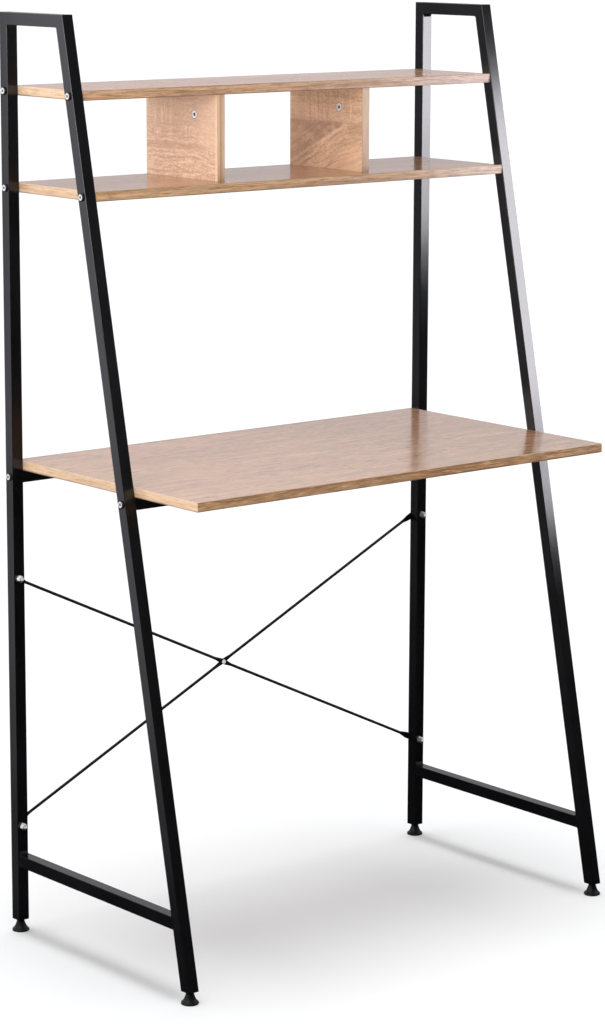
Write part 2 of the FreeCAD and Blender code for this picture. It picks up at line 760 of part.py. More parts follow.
flat = S("flat_thick")
for name, rotation, centre_y in (("falling_brace_rod", angle, flat / 2),
                                 ("rising_brace_rod", -angle, flat * 1.5)):
    b = body(name)
    mid_c = centre_y                            # middle of the flattened centre
    rod_c = rod_r                               # the round rod touches the posts
    end_c = flat / 2
    eye = S("eye_width")
    # flattened centre
    s = oval(b, name + "_mid_a", Q.of(0), mid_c, flat / 2, S("centre_width") / 2)
    f1 = pad(b, s, Q.of(5))
    s1 = oval(b, name + "_mid_b", Q.of(5), mid_c, flat / 2, S("centre_width") / 2)
    s2 = oval(b, name + "_rod_a", Q.of(19), rod_c, rod_r, rod_r)
    f2 = loft(b, s1, s2, name + "_mid_loft")
    # round length
    x_end = half_rod - 30
    s = oval(b, name + "_rod_b", Q.of(19), rod_c, rod_r, rod_r)
    f3 = pad(b, s, x_end - 19)
    # flattened end
    s1 = oval(b, name + "_rod_c", x_end, rod_c, rod_r, rod_r)
    s2 = oval(b, name + "_end_a", x_end + 14, end_c, flat / 2, eye / 2 - 1)
    f4 = loft(b, s1, s2, name + "_end_loft")
    s = oval(b, name + "_end_b", x_end + 14, end_c, flat / 2, eye / 2 - 1)
    f5 = pad(b, s, Q.of(14))
    s = sketch(b, name + "_eye", "XZ_Plane")
    circle(s, half_rod, ZERO, eye)
    f6 = pad(b, s, flat, back=True)
    m = b.newObject("PartDesign::Mirrored", name + "_mirror")
    m.TransformMode = "Whole shape"
    m.MirrorPlane = (plane(b, "YZ_Plane"), [""])
    b.Tip = m
    s = sketch(b, name + "_eye_holes", "XZ_Plane")
    circle(s, half_rod, ZERO, S("bolt_hole_dia"))
    circle(s, -half_rod, ZERO, S("bolt_hole_dia"))
    pocket(b, s, Q.of(20), both=True)
    s = sketch(b, name + "_mid_hole", "XZ_Plane")
    circle(s, ZERO, ZERO, S("centre_bolt_dia") + 0.2)
    f = pocket(b, s, Q.of(20), both=True)
    put(b, ZERO, back, brace_mid, FreeCAD.Rotation(Y_DIR, rotation))

# bolt and nut at the crossing
b = body("brace_centre_bolt")
s = sketch(b, "centre_bolt_head", "XZ_Plane", ZERO)
circle(s, ZERO, brace_mid, Q.of(7.4))
p = pad(b, s, Q.of(2.2))
round_edges(b, p, lambda e: e.Curve.TypeId == "Part::GeomCircle" and
            e.CenterOfMass.y < -1, Q.of(1.3), "centre_bolt_dome")
s = sketch(b, "centre_bolt_shank", "XZ_Plane", ZERO)
circle(s, ZERO, brace_mid, S("centre_bolt_dia"))
pad(b, s, 2 * flat + 4.2, back=True)
put(b, ZERO, back, ZERO)

b = body("brace_centre_nut")
s = sketch(b, "centre_nut_outline", "XZ_Plane", -(2 * flat))
hexagon(s, ZERO, brace_mid, Q.of(7.0))
pad(b, s, Q.of(3.0), back=True)
s = sketch(b, "centre_nut_bore", "XZ_Plane", -(2 * flat))
circle(s, ZERO, brace_mid, S("centre_bolt_dia"))
pocket(b, s, Q.of(8), both=True)
put(b, ZERO, back, ZERO)

BRACE_ENDS = [(mid_x * k, z) for k in (-1, 1) for z in (S("brace_high_z"), S("brace_low_z"))]

b = body("brace_end_bolts", compound=True)
s = sketch(b, "end_bolt_heads", "XZ_Plane", -flat)
for x, z in BRACE_ENDS:
    circle(s, x, z, S("end_head_dia"))
p = pad(b, s, S("end_head_high"), back=True)
round_edges(b, p, lambda e: e.Curve.TypeId == "Part::GeomCircle" and
            e.CenterOfMass.y > VALUE["flat_thick"] + 1, S("end_head_high") * 0.6, "end_bolt_domes")
s = sketch(b, "end_bolt_shanks", "XZ_Plane", -flat)
for x, z in BRACE_ENDS:
    circle(s, x, z, S("end_bolt_dia"))
pad(b, s, S("end_bolt_length"))
s = sketch(b, "end_bolt_sockets", "XZ_Plane", -(flat + S("end_head_high")))
for x, z in BRACE_ENDS:
    hexagon(s, x, z, S("hex_socket"))
pocket(b, s, S("end_head_high") - 0.8, back=False)
put(b, ZERO, back, ZERO)

b = body("brace_washers", compound=True)
s = sketch(b, "washers_outline", "XZ_Plane", side)
for x, z in BRACE_ENDS:
    circle(s, x, z, S("washer_dia"))
    circle(s, x, z, S("end_bolt_dia") + 0.3)
pad(b, s, S("washer_thick"))
put(b, ZERO, back, ZERO)

b = body("brace_nuts", compound=True)
s = sketch(b, "nuts_outline", "XZ_Plane", side + S("washer_thick"))
for x, z in BRACE_ENDS:
    hexagon(s, x, z, S("nut_flats"))
    circle(s, x, z, S("end_bolt_dia"))
pad(b, s, S("nut_high"))
put(b, ZERO, back, ZERO)

# ---------------------------------------------------------------- levelling feet
foot_post_y = -(side / 2)
foot_leg_y = -(leg_front(low) - level / 2)
plate_top = low + S("plate_thick")
gap = S("plug_gap")

b = body("foot_nut_plates", compound=True)
s = sketch(b, "plates_outline", "YZ_Plane", mid_x)
polygon(s, box4(-(side - wall - gap), -(wall + gap), low, plate_top))
front0 = leg_front(low) - wall / cos_t - gap
front1 = leg_front(plate_top) - wall / cos_t - gap
rear0 = leg_back(low) + wall / cos_t + gap
rear1 = leg_back(plate_top) + wall / cos_t + gap
polygon(s, [(-front0, low), (-rear0, low), (-rear1, plate_top), (-front1, plate_top)])
pad(b, s, side - 2 * wall - 2 * gap, both=True)
s = sketch(b, "plate_bosses", "XY_Plane", low + 1)
for y in (foot_post_y, foot_leg_y):
    circle(s, mid_x, y, S("boss_dia"))
pad(b, s, S("plate_thick") + S("boss_high") - 1)
s = sketch(b, "plate_bores", "XY_Plane", low - 1)
for y in (foot_post_y, foot_leg_y):
    circle(s, mid_x, y, S("stud_bore"))
pocket(b, s, Q.of(20), back=True)
doc.recompute()
m = b.newObject("PartDesign::Mirrored", "foot_nut_plates_mirror")
m.TransformMode = "Whole shape"
m.MirrorPlane = (plane(b, "YZ_Plane"), [""])
b.Tip = m
put(b, ZERO, back, ZERO)

for tag, sx, y in (("left_back", -1, foot_post_y), ("left_front", -1, foot_leg_y),
                   ("right_back", 1, foot_post_y), ("right_front", 1, foot_leg_y)):
    x = mid_x * sx
    # threaded stud, chamfered at both ends
    name = "foot_stud_" + tag
    b = body(name)
    s = sketch(b, name + "_profile", "XZ_Plane")
    r = S("stud_dia") / 2
    z0, z1 = S("stud_low_z"), S("stud_top_z")
    polygon(s, [(ZERO, z0), (r - 0.6, z0), (r, z0 + 0.6), (r, z1 - 1.2), (r - 1.2, z1), (ZERO, z1)])
    revolve(b, s)
    put(b, x, back + y, ZERO)
    # moulded cone base, socketed for the stud
    name = "foot_base_" + tag
    b = body(name)
    s = sketch(b, name + "_profile", "XZ_Plane")
    neck = S("foot_neck_dia") / 2
    rim = S("foot_dia") / 2
    zt = low - S("foot_gap")
    span = rim - neck
    bore = S("foot_socket") / 2
    polygon(s, [(ZERO, ZERO), (rim - 1.0, ZERO), (rim - 0.25, Q.of(0.5)), (rim, Q.of(1.5)),
                (rim, Q.of(2.6)), (rim - 0.7, Q.of(3.7)), (neck + span * 0.66, zt * 0.275),
                (neck + span * 0.47, zt * 0.37), (neck + span * 0.35, zt * 0.47),
                (neck + span * 0.19, zt * 0.63), (neck + span * 0.06, zt * 0.79), (neck, zt * 0.88),
                (neck - 0.2, zt),
                (bore, zt), (bore, Q.of(6.0)), (ZERO, Q.of(6.0))])
    revolve(b, s)
    put(b, x, back + y, ZERO)

doc.recompute()

# ---------------------------------------------------------------- checks and export
bad = [o.Name for o in doc.Objects if "Invalid" in o.State or "Error" in o.State]
if bad:
    sys.exit("failed objects: " + ", ".join(bad))

parts = [o for o in doc.Objects if o.TypeId == "PartDesign::Body"]
COUNTS = {"left_frame_welds": 6, "right_frame_welds": 6, "crossbar_nut_plugs": 4, "frame_bolts": 12,
          "desktop_edge_bands": 4, "upper_shelf_edge_bands": 4, "lower_shelf_edge_bands": 4,
          "desktop_screws": 6, "shelf_inserts": 8, "divider_edge_bands": 4, "divider_cams": 2,
          "divider_cam_bolts": 2, "divider_dowels": 2, "divider_screws": 4, "brace_end_bolts": 4,
          "brace_washers": 4, "brace_nuts": 4, "foot_nut_plates": 4}
total = Part.makeCompound([p.Shape for p in parts])
for p in parts:
    if p.Shape.isNull() or not p.Shape.isValid():
        sys.exit("bad shape: " + p.Label)
    want = COUNTS.get(p.Label, 1)
    if len(p.Shape.Solids) != want:
        sys.exit("%s has %d solids, not %d" % (p.Label, len(p.Shape.Solids), want))

os.makedirs("parts", exist_ok=True)
for p in parts:
    p.Shape.exportStep("parts/%s.step" % p.Label)
    bb = p.Shape.BoundBox
    print("%-26s solids %2d  volume %10.1f  x %.1f..%.1f  y %.1f..%.1f  z %.1f..%.1f" % (
        p.Label, len(p.Shape.Solids), p.Shape.Volume, bb.XMin, bb.XMax, bb.YMin, bb.YMax, bb.ZMin, bb.ZMax))
bb = total.BoundBox
print("parts:", len(parts), "box x %.2f..%.2f y %.2f..%.2f z %.2f..%.2f" % (
    bb.XMin, bb.XMax, bb.YMin, bb.YMax, bb.ZMin, bb.ZMax))
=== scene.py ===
"""Ladder desk: looks. Every CAD node keeps its place and gets a node material; lights, floor and camera follow."""

import math

import bpy
from mathutils import Matrix, Vector

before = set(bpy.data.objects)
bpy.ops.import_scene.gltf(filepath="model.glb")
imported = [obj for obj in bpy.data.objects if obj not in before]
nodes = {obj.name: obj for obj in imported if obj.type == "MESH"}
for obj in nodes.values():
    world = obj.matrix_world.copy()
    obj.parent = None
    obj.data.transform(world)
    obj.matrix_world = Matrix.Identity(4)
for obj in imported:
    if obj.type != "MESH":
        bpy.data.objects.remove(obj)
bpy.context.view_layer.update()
scene = bpy.context.scene


# ---------------------------------------------------------------- node graphs
class Graph:
    """A material under construction: short calls that add nodes and return their output sockets."""

    def __init__(self, name):
        self.mat = bpy.data.materials.new(name)
        self.mat.use_nodes = True
        self.tree = self.mat.node_tree
        self.tree.nodes.clear()
        self.out = self.node("ShaderNodeOutputMaterial")
        self.bsdf = self.node("ShaderNodeBsdfPrincipled")
        self.link(self.bsdf.outputs[0], self.out.inputs["Surface"])
        self.coord = self.node("ShaderNodeTexCoord")
        self.xyz = self.split(self.coord.outputs["Object"])

    def node(self, kind, **props):
        n = self.tree.nodes.new(kind)
        for k, v in props.items():
            setattr(n, k, v)
        return n

    def link(self, a, b):
        self.tree.links.new(a, b)

    def feed(self, socket, value):
        if isinstance(value, bpy.types.NodeSocket):
            self.link(value, socket)
        elif value is not None:
            socket.default_value = value

    def split(self, v):
        n = self.node("ShaderNodeSeparateXYZ")
        self.link(v, n.inputs[0])
        return n.outputs[0], n.outputs[1], n.outputs[2]

    def vec(self, x, y, z=0.0):
        n = self.node("ShaderNodeCombineXYZ")
        for s, v in zip(n.inputs, (x, y, z)):
            self.feed(s, v)
        return n.outputs[0]

    def math(self, op, a, b=None, c=None, clamp=False):
        n = self.node("ShaderNodeMath", operation=op, use_clamp=clamp)
        for s, v in zip(n.inputs, (a, b, c)):
            self.feed(s, v)
        return n.outputs[0]

    def mul(self, a, b):
        return self.math("MULTIPLY", a, b)

    def add(self, a, b):
        return self.math("ADD", a, b)

    def sub(self, a, b):
        return self.math("SUBTRACT", a, b)

    def noise(self, v, scale=1.0, detail=2.0, rough=0.5, warp=0.0):
        n = self.node("ShaderNodeTexNoise")
        self.feed(n.inputs["Vector"], v)
        n.inputs["Scale"].default_value = scale
        n.inputs["Detail"].default_value = detail
        n.inputs["Roughness"].default_value = rough
        n.inputs["Distortion"].default_value = warp
        return n.outputs[0]

    def range(self, v, a, b, lo=0.0, hi=1.0, smooth=True):
        n = self.node("ShaderNodeMapRange", interpolation_type="SMOOTHSTEP" if smooth else "LINEAR")
        self.feed(n.inputs["Value"], v)
        for k, x in (("From Min", a), ("From Max", b), ("To Min", lo), ("To Max", hi)):
            self.feed(n.inputs[k], x)
        return n.outputs[0]

    def mix(self, f, a, b, kind="MIX"):
        n = self.node("ShaderNodeMix", data_type="RGBA", blend_type=kind)
        self.feed(n.inputs[0], f)
        for s, v in ((n.inputs[6], a), (n.inputs[7], b)):
            if isinstance(v, tuple) and len(v) == 3:
                v = (*v, 1.0)
            self.feed(s, v)
        return n.outputs[2]

    def mix_value(self, f, a, b):
        n = self.node("ShaderNodeMix", data_type="FLOAT")
        for k, v in ((0, f), (2, a), (3, b)):
            self.feed(n.inputs[k], v)
        return n.outputs[0]

    def bump(self, height, distance, strength=1.0, normal=None):
        n = self.node("ShaderNodeBump")
        n.inputs["Strength"].default_value = strength
        n.inputs["Distance"].default_value = distance
        self.link(height, n.inputs["Height"])
        if normal is not None:
            self.link(normal, n.inputs["Normal"])
        return n.outputs[0]

    def set(self, **values):
        names = {"color": "Base Color", "rough": "Roughness", "metal": "Metallic", "ior": "IOR",
                 "normal": "Normal", "coat": "Coat Weight", "coat_rough": "Coat Roughness",
                 "spec": "Specular IOR Level", "aniso": "Anisotropic", "tint": "Specular Tint"}
        for k, v in values.items():
            if isinstance(v, tuple) and len(v) == 3:
                v = (*v, 1.0)
            self.feed(self.bsdf.inputs[names[k]], v)
        return self.mat


# ---------------------------------------------------------------- metal coats
def coat_black(name, rough=0.145, base=(0.0032, 0.0031, 0.0036), dust_amount=0.09, ior=1.56):
    """Satin black coat on steel: fine peel, clouded gloss, specks and a little dust."""
    g = Graph(name)
    at = g.coord.outputs["Object"]
    peel = g.noise(at, 620.0, 3.0, 0.55)
    wide = g.noise(at, 9.0, 3.0, 0.6)
    speck = g.noise(at, 1500.0, 1.0, 0.5)
    dust = g.range(g.noise(at, 260.0, 4.0, 0.7), 0.60, 0.78)
    tone = g.mix(g.range(wide, 0.3, 0.7), base, tuple(c * 1.5 for c in base))
    tone = g.mix(g.mul(dust, dust_amount), tone, (0.050, 0.048, 0.050))
    r = g.add(g.range(wide, 0.25, 0.75, rough - 0.012, rough + 0.018), g.mul(dust, 0.08))
    h = g.add(g.mul(peel, 1.0), g.mul(speck, 0.25))
    return g.set(color=tone, rough=r, ior=ior, normal=g.bump(h, 0.00010, 0.35))


def zinc(name, tone=(0.74, 0.74, 0.76), rough=0.26, metal=1.0):
    """Bright plate: clouding and small dull spots."""
    g = Graph(name)
    at = g.coord.outputs["Object"]
    cloud = g.noise(at, 240.0, 4.0, 0.6)
    spot = g.range(g.noise(at, 900.0, 2.0, 0.5), 0.62, 0.72)
    c = g.mix(g.range(cloud, 0.3, 0.7), tone, tuple(v * 0.82 for v in tone))
    c = g.mix(g.mul(spot, 0.5), c, (0.42, 0.40, 0.38))
    r = g.add(g.range(cloud, 0.3, 0.7, rough - 0.06, rough + 0.08), g.mul(spot, 0.15))
    return g.set(color=c, metal=metal, rough=r, normal=g.bump(g.noise(at, 2200.0, 2.0), 0.00004, 0.5))


def ringed(name, radius, centre, rim, tone, metal, rim_shade=(0.020, 0.019, 0.019)):
    """Plated fitting seen face on: painted shade in the socket in the middle, bright turned face, painted shade round
    the rim.
    """
    g = Graph(name)
    at = g.coord.outputs["Object"]
    cloud = g.noise(at, 300.0, 4.0, 0.6)
    turned = g.math("SINE", g.mul(radius(g), 2 * math.pi / 0.0006))
    face = g.mix(g.range(cloud, 0.3, 0.7), tone, tuple(v * 0.86 for v in tone))
    face = g.mix(g.range(turned, 0.0, 1.0, 0.0, 0.12), face, (0.55, 0.54, 0.53))
    r = radius(g)
    # painted shade: the socket in the middle is darkened
    c = g.mix(g.range(r, centre * 1.18, centre * 0.78), face, (0.030, 0.029, 0.028))
    # painted shade: a dark ring round the rim
    c = g.mix(g.range(r, rim * 0.97, rim * 1.06), c, rim_shade)
    gloss = g.range(cloud, 0.3, 0.7, 0.38, 0.50)
    return g.set(color=c, metal=metal, rough=gloss, normal=g.bump(g.noise(at, 2200.0, 2.0), 0.00004, 0.5))


def from_axes(axes):
    """Distance, in the YZ plane, to the nearest of the given axes along X."""
    def radius(g):
        x, y, z = g.xyz
        near = None
        for ay, az in axes:
            dy, dz = g.sub(y, ay), g.sub(z, az)
            d = g.math("SQRT", g.add(g.mul(dy, dy), g.mul(dz, dz)))
            near = d if near is None else g.math("MINIMUM", near, d)
        return near
    return radius


def leg_mid(z):
    return -0.2412 + (z - 0.020) / 1.480 * 0.309 + 0.0102


HEADS = [(y, z) for z in (1.3775, 1.2255, 0.762) for y in (0.2268, leg_mid(z))]


def nut(name):
    """Nuts of the brace: pale plate with bright blotches, partly clouding and partly painted glints, and painted shade
    toward the middle of the desk, on the lower part and round the thread.
    """
    g = Graph(name)
    x, y, z = g.xyz
    at = g.coord.outputs["Object"]
    dx = g.sub(g.math("ABSOLUTE", x), 0.435)
    dz = g.sub(z, g.mix_value(g.range(z, 0.38, 0.40), 0.180, 0.595))
    r = g.math("SQRT", g.add(g.mul(dx, dx), g.mul(dz, dz)))
    cloud = g.noise(at, 420.0, 4.0, 0.65)
    # bright and grey blotches: partly plate clouding, partly painted glints
    c = g.mix(g.range(cloud, 0.42, 0.60), (0.98, 0.98, 0.97), (0.62, 0.62, 0.61))
    # painted shade on the side toward the middle of the desk
    c = g.mix(g.range(dx, -0.0008, -0.0038), c, (0.20, 0.20, 0.20))
    # painted shade on the lower part
    c = g.mix(g.range(dz, -0.0008, -0.0026), c, (0.055, 0.055, 0.055))
    # painted shade: a dark ring round the thread
    c = g.mix(g.mul(g.math("MULTIPLY", g.range(r, 0.0026, 0.0031), g.range(r, 0.0036, 0.0032)), 0.70), c, (0.08, 0.08, 0.08))
    return g.set(color=c, metal=0.12, rough=g.range(cloud, 0.3, 0.7, 0.30, 0.44), normal=g.bump(g.noise(at, 2200.0, 2.0), 0.00004, 0.5))


def threaded(name):
    """Plated stud: the thread's turns as bump along the axis, with painted shade in the grooves."""
    g = Graph(name)
    x, y, z = g.xyz
    at = g.coord.outputs["Object"]
    wave = g.math("SINE", g.mul(z, 2 * math.pi / 0.00125))
    dirt = g.noise(at, 700.0, 3.0, 0.6)
    # painted shade: the thread's grooves darker, its crests paler
    c = g.mix(g.range(wave, -1.0, 0.4), (0.25, 0.24, 0.23), (0.68, 0.68, 0.70))
    c = g.mix(g.mul(g.range(dirt, 0.5, 0.75), 0.4), c, (0.20, 0.18, 0.16))
    return g.set(color=c, metal=1.0, rough=g.range(dirt, 0.3, 0.7, 0.28, 0.42), normal=g.bump(wave, 0.0004, 0.8))


def plastic(name):
    """Moulded black plastic with a fine spark-eroded grain and scuffs near the floor."""
    g = Graph(name)
    x, y, z = g.xyz
    at = g.coord.outputs["Object"]
    grain = g.noise(at, 1900.0, 2.0, 0.5)
    scuff = g.range(g.noise(at, 330.0, 4.0, 0.7), 0.56, 0.72)
    low = g.range(z, 0.006, 0.0)
    c = g.mix(g.mul(scuff, g.add(g.mul(low, 0.4), 0.08)), (0.0036, 0.0036, 0.0040), (0.045, 0.044, 0.042))
    r = g.add(g.range(grain, 0.3, 0.7, 0.36, 0.46), g.mul(scuff, 0.10))
    return g.set(color=c, rough=r, ior=1.27, normal=g.bump(grain, 0.00007, 0.5))


# ---------------------------------------------------------------- oak
def scaled(c, k):
    return tuple(min(1.0, v * k) for v in c)


def oak(g, u, v, w, tones, seed=0.0, warp=0.006, bands=22.0, streaks=95.0, contrast=1.0, along=1.0):
    """Printed sonoma oak: u runs with the grain, v across it, w through the board. Returns colour, height and a fine mask."""
    light, mid, dark = tones
    wob = g.noise(g.vec(g.add(g.mul(u, 3.0), seed), g.mul(v, 7.0), g.mul(w, 7.0)), 1.0, 2.0, 0.5)
    v2 = g.add(v, g.mul(g.sub(wob, 0.5), warp * 4))
    broad = g.noise(g.vec(g.add(g.mul(u, 1.6), seed), g.mul(v2, bands), g.mul(w, 14.0)), 1.0, 3.0, 0.55)
    strk = g.noise(g.vec(g.add(g.mul(u, 5.5 * along), seed * 2), g.mul(v2, streaks), g.mul(w, 60.0)), 1.0, 3.0, 0.6)
    fine = g.noise(g.vec(g.add(g.mul(u, 22.0), seed), g.mul(v2, 460.0), g.mul(w, 200.0)), 1.0, 2.0, 0.6)
    pore = g.noise(g.vec(g.mul(u, 75.0), g.mul(v2, 1500.0), g.mul(w, 700.0)), 1.0, 1.0, 0.5)
    c = g.mix(g.range(broad, 0.34, 0.66), light, mid)
    c = g.mix(g.mul(g.range(strk, 0.50, 0.74), 0.62 * contrast), c, dark)
    c = g.mix(g.mul(g.range(strk, 0.44, 0.26), 0.45 * contrast), c, scaled(light, 1.16))
    c = g.mix(g.mul(g.range(fine, 0.52, 0.75), 0.34 * contrast), c, dark)
    pores = g.range(pore, 0.60, 0.70)
    c = g.mix(g.mul(pores, 0.35), c, scaled(dark, 0.62))
    height = g.sub(g.mul(fine, 0.35), g.mul(pores, 0.65))
    return c, height, fine


def board_top(name, seed, back, front, painted_light_tints, right, rough=0.15, dashes=1.0):
    """Top of a board, grain along X: pinkish and straw bands, long streaks, short dark dashes, darker at the back arris."""
    g = Graph(name)
    x, y, z = g.xyz
    pink, straw, dark = (0.580, 0.300, 0.170), (0.560, 0.345, 0.158), (0.290, 0.145, 0.062)
    c, h, fine = oak(g, x, y, z, (pink, scaled(pink, 0.86), dark), seed=seed, bands=24.0, streaks=88.0, contrast=0.85, along=4.0)
    hue = g.noise(g.vec(g.add(g.mul(x, 2.3), seed), g.mul(y, 19.0), 0.0), 1.0, 2.0, 0.5)
    c = g.mix(g.mul(g.range(hue, 0.40, 0.62), 0.62), c, straw)
    # browner toward the right; tinted per board from front to back as painted light and grazing reflection, paler and,
    # on the shelves, bluer toward the back
    c = g.mix(g.range(x, -0.16, 0.24), c, g.mix(1.0, c, right, "MULTIPLY"))
    depth = g.range(y, front, back, smooth=False)
    c = g.mix(1.0, c, g.mix(depth, painted_light_tints[0], painted_light_tints[1]), "MULTIPLY")
    thin = g.noise(g.vec(g.add(g.mul(x, 40.0), seed), g.mul(y, 115.0), 0.0), 1.0, 3.0, 0.65)
    c = g.mix(g.mul(g.range(thin, 0.50, 0.68), 0.46), c, dark)
    c = g.mix(g.mul(g.range(thin, 0.47, 0.31), 0.40), c, (0.680, 0.440, 0.280))
    long = g.noise(g.vec(g.add(g.mul(x, 4.0), seed + 8.0), g.mul(g.add(y, g.mul(hue, 0.006)), 290.0), 4.0), 1.0, 3.0, 0.6)
    c = g.mix(g.mul(g.range(long, 0.50, 0.66), 0.55), c, dark)
    c = g.mix(g.mul(g.range(long, 0.48, 0.33), 0.45), c, (0.680, 0.430, 0.265))
    # cathedral patches: wider dark strokes that taper, in groups
    patch = g.noise(g.vec(g.add(g.mul(x, 14.0), seed + 6.0), g.mul(y, 42.0), 1.0), 1.0, 3.0, 0.6)
    c = g.mix(g.mul(g.range(patch, 0.53, 0.67), 0.27), c, dark)
    c = g.mix(g.mul(g.range(patch, 0.46, 0.33), 0.26), c, scaled(pink, 1.38))
    dash = g.noise(g.vec(g.add(g.mul(x, 30.0), seed * 3), g.mul(y, 150.0), 0.0), 1.0, 1.0, 0.5)
    where = g.noise(g.vec(g.add(g.mul(x, 4.0), seed), g.mul(y, 9.0), 2.0), 1.0, 2.0, 0.5)
    where = g.mul(g.range(where, 0.42, 0.58), g.range(x, -0.26, 0.16, 0.55, 1.0))
    c = g.mix(g.mul(g.mul(g.range(dash, 0.58, 0.68), where), 1.0 * dashes), c, scaled(dark, 0.62))
    ash = g.noise(g.vec(g.add(g.mul(x, 8.0), seed + 2.0), g.mul(y, 26.0), 3.0), 1.0, 3.0, 0.6)
    c = g.mix(g.mul(g.range(ash, 0.54, 0.68), 0.26), c, (0.330, 0.235, 0.130))
    saw = g.noise(g.vec(g.mul(x, 260.0), g.add(g.mul(y, 14.0), seed), 0.0), 1.0, 2.0, 0.6)
    area = g.range(g.noise(g.vec(g.add(g.mul(x, 6.0), seed + 4.0), g.mul(y, 10.0), 0.0), 1.0, 2.0, 0.5), 0.52, 0.66)
    c = g.mix(g.mul(g.mul(g.range(saw, 0.52, 0.68), area), 0.22), c, scaled(straw, 1.3))
    # darker, rougher back arris with nicks
    nick = g.noise(g.vec(g.mul(x, 90.0), 0.0, seed), 1.0, 3.0, 0.6)
    arris = g.range(g.add(y, g.mul(g.sub(nick, 0.5), 0.0016)), back - 0.0070, back - 0.0035)
    c = g.mix(g.mul(arris, 0.70), c, (0.085, 0.045, 0.028))
    cloud = g.noise(g.vec(g.mul(x, 9.0), g.mul(y, 14.0), 0.0), 1.0, 3.0, 0.6)
    r = g.add(g.range(cloud, 0.3, 0.7, rough - 0.02, rough + 0.04), g.mul(g.range(fine, 0.45, 0.7), 0.04))
    r = g.add(r, g.mul(arris, 0.25))
    return g.set(color=c, rough=r, ior=1.5, normal=g.bump(h, 0.00010, 0.30))


FRONT = ((0.600, 0.360, 0.190), (0.470, 0.258, 0.128), (0.230, 0.112, 0.050))
# paler copy of the strip's tones for the ends: painted light from the left
LIT_END = ((0.600, 0.428, 0.282), (0.510, 0.344, 0.218), (0.330, 0.195, 0.105))


def edge_band(name, seed, low, high, tone, fall, far, lip_tone, depth=1.0, rough=0.20):
    """Edge strip: grain along the strip, on X at front and back and on Y at the ends, which take paler tones as painted
    light; a darker line along the bottom arris and a lip line along the top.
    """
    g = Graph(name)
    x, y, z = g.xyz
    nx, ny, nz = g.split(g.coord.outputs["Normal"])
    end = g.range(g.math("ABSOLUTE", nx), 0.45, 0.55)
    u = g.mix_value(end, x, y)
    a, h, fine = oak(g, u, z, g.mul(y, 0.3), FRONT, seed=seed, warp=0.0012, bands=90.0, streaks=300.0, contrast=1.7 * depth)
    # the ends take the paler tones: painted light from the left
    b, h2, fine2 = oak(g, u, z, g.mul(x, 0.3), LIT_END, seed=seed + 3.0, warp=0.0012, bands=80.0, streaks=280.0, contrast=1.3)
    a = g.mix(1.0, a, tone, "MULTIPLY")
    # tone multiplied toward the right, then a painted reflection of the right soft box added toward the right end
    a = g.mix(g.range(x, -0.15, 0.20), a, g.mix(1.0, a, fall, "MULTIPLY"))
    a = g.mix(g.range(x, 0.20, 0.42), a, g.mix(1.0, a, far, "ADD"))
    c = g.mix(end, a, b)
    mott = g.noise(g.vec(g.mul(u, 34.0), g.mul(z, 400.0), seed), 1.0, 3.0, 0.65)
    c = g.mix(g.mul(g.range(mott, 0.51, 0.64), g.mix_value(end, 0.80 * depth, 0.28)), c, FRONT[2])
    c = g.mix(g.mul(g.range(mott, 0.46, 0.34), g.mix_value(end, 0.70 * depth, 0.30)), c, scaled(FRONT[0], 1.22))
    line = g.math("MAXIMUM", g.range(z, low + 0.0019, low + 0.0009), 0.0)
    c = g.mix(g.mul(line, 0.62), c, (0.075, 0.038, 0.018))
    lip = g.range(z, high - 0.0014, high - 0.0004)
    c = g.mix(g.mul(lip, 0.55), c, g.mix(end, lip_tone, scaled(LIT_END[0], 1.12)))
    return g.set(color=c, rough=g.range(fine, 0.4, 0.7, rough, rough + 0.08), ior=1.44, normal=g.bump(h, 0.00012, 0.35))


def divider_band(name, seed):
    """Upright strips on the dividers: grain along Z, a darker pencil line on the left divider's strip and another tone
    on the right divider's strip.
    """
    g = Graph(name)
    x, y, z = g.xyz
    left = g.range(x, 0.01, -0.01)
    tone = ((0.680, 0.450, 0.270), (0.590, 0.370, 0.215), (0.340, 0.195, 0.100))
    c, h, fine = oak(g, z, x, g.mul(y, 0.3), tone, seed=seed, warp=0.0012, bands=70.0, streaks=330.0, contrast=1.1)
    c = g.mix(g.mul(g.sub(1.0, left), 0.55), c, (0.520, 0.345, 0.245))
    pencil = g.mul(g.range(x, -0.1550, -0.1538), g.range(x, -0.1500, -0.1514))
    c = g.mix(g.mul(g.mul(pencil, left), 0.50), c, tone[2])
    return g.set(color=c, rough=g.range(fine, 0.4, 0.7, 0.30, 0.38), ior=1.5, normal=g.bump(h, 0.00012, 0.35))


